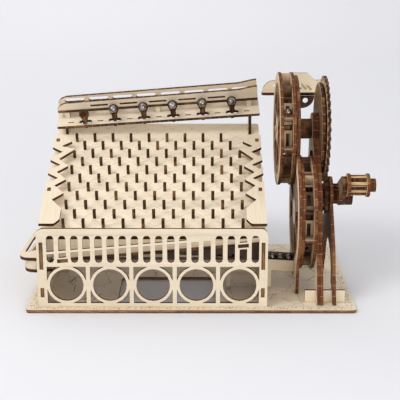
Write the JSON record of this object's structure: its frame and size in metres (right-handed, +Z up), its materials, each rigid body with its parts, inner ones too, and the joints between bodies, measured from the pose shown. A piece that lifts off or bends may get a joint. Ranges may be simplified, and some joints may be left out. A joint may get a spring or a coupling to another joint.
{
  "type": "wooden marble run puzzle",
  "caption": "Hand cranked plywood marble run: a pegged slope over a pierced panel, a tipping cup channel, a return track and a geared double wheel lift.",
  "frame": {"origin": "middle of the base plate's underside", "axes": "+X along the base towards the crank, +Y to the back, +Z up"},
  "size_m": [0.3376, 0.2065, 0.209],
  "materials": {
    "birch_ply": "raw birch plywood faces with burnt laser cut edges",
    "burnt_ply": "burnt laser cut edge",
    "beech_dowel": "smooth raw beech",
    "bright_steel": "polished steel"
  },
  "bodies": {
    "root": {"base_plate": "birch_ply", "front_panel": "birch_ply", "left_side_panel": "birch_ply", "right_side_panel": "birch_ply", "rear_panel": "birch_ply", "peg_board": "birch_ply", "left_guard": "birch_ply", "right_guard": "birch_ply", "trough_floor": "birch_ply", "trough_back_wall": "birch_ply", "turn_floor": "birch_ply", "turn_wall": "burnt_ply", "turn_lid": "birch_ply", "return_track_floor": "birch_ply", "return_track_front_rail": "birch_ply", "return_track_rear_rail": "birch_ply", "tray_plate": "birch_ply", "channel_floor": "birch_ply", "channel_front_wall": "birch_ply", "channel_rear_wall": "birch_ply", "left_tray_post": "birch_ply", "right_tray_post": "birch_ply", "cup_rod": "bright_steel", "inner_lift_plate": "birch_ply", "centre_lift_plate": "birch_ply", "outer_lift_plate": "birch_ply", "foot_bar": "birch_ply", "chute_floor": "birch_ply", "chute_back_wall": "birch_ply", "chute_gable": "birch_ply", "chute_bracket": "birch_ply", "return_marble_1": "bright_steel", "return_marble_2": "bright_steel", "return_marble_3": "bright_steel"},
    "upper_wheel": {"upper_wheel_cage": "birch_ply", "upper_wheel_ring": "birch_ply", "upper_axle": "beech_dowel", "upper_drum": "burnt_ply", "upper_gear": "birch_ply", "lifted_marble": "bright_steel"},
    "lower_wheel": {"lower_wheel_cage": "birch_ply", "lower_wheel_ring": "birch_ply", "lower_axle": "beech_dowel", "lower_gear": "birch_ply"},
    "crank": {"crank_axle": "beech_dowel", "crank_pinions": "birch_ply", "crank_arm": "burnt_ply"},
    "knob": {"crank_knob": "birch_ply"},
    "cup_1_body": {"cup_1": "birch_ply"},
    "cup_2_body": {"cup_2": "birch_ply", "marble_2": "bright_steel"},
    "cup_3_body": {"cup_3": "birch_ply", "marble_3": "bright_steel"},
    "cup_4_body": {"cup_4": "birch_ply", "marble_4": "bright_steel"},
    "cup_5_body": {"cup_5": "birch_ply", "marble_5": "bright_steel"},
    "cup_6_body": {"cup_6": "birch_ply", "marble_6": "bright_steel"}
  },
  "joints": [
    {"name": "upper_wheel_spin", "type": "hinge", "parent": "root", "child": "upper_wheel", "pos_m": [0.09, 0.011, 0.153], "axis": [1, 0, 0], "continuous": true},
    {"name": "lower_wheel_spin", "type": "hinge", "parent": "root", "child": "lower_wheel", "pos_m": [0.11, -0.0213, 0.07612], "axis": [1, 0, 0], "continuous": true},
    {"name": "crank_spin", "type": "hinge", "parent": "root", "child": "crank", "pos_m": [0.13, -0.02331, 0.09522], "axis": [1, 0, 0], "continuous": true},
    {"name": "knob_spin", "type": "hinge", "parent": "crank", "child": "knob", "pos_m": [0.16, -0.04908, 0.11058], "axis": [1, 0, 0], "continuous": true},
    {"name": "cup_1_tip", "type": "hinge", "parent": "root", "child": "cup_1_body", "pos_m": [-0.11337, 0.0828, 0.14148], "axis": [0.9977, 0, 0.068], "range_deg": [-18, 0]},
    {"name": "cup_2_tip", "type": "hinge", "parent": "root", "child": "cup_2_body", "pos_m": [-0.08225, 0.0828, 0.14361], "axis": [0.9977, 0, 0.068], "range_deg": [0, 18]},
    {"name": "cup_3_tip", "type": "hinge", "parent": "root", "child": "cup_3_body", "pos_m": [-0.05112, 0.0828, 0.14573], "axis": [0.9977, 0, 0.068], "range_deg": [0, 18]},
    {"name": "cup_4_tip", "type": "hinge", "parent": "root", "child": "cup_4_body", "pos_m": [-0.01999, 0.0828, 0.14785], "axis": [0.9977, 0, 0.068], "range_deg": [0, 18]},
    {"name": "cup_5_tip", "type": "hinge", "parent": "root", "child": "cup_5_body", "pos_m": [0.01114, 0.0828, 0.14997], "axis": [0.9977, 0, 0.068], "range_deg": [0, 18]},
    {"name": "cup_6_tip", "type": "hinge", "parent": "root", "child": "cup_6_body", "pos_m": [0.04226, 0.0828, 0.15209], "axis": [0.9977, 0, 0.068], "range_deg": [0, 18]}
  ],
  "couplings": [
    {"joint": "crank_spin", "follows": "upper_wheel_spin", "ratio": -3},
    {"joint": "lower_wheel_spin", "follows": "upper_wheel_spin", "ratio": 2.1429}
  ]
}
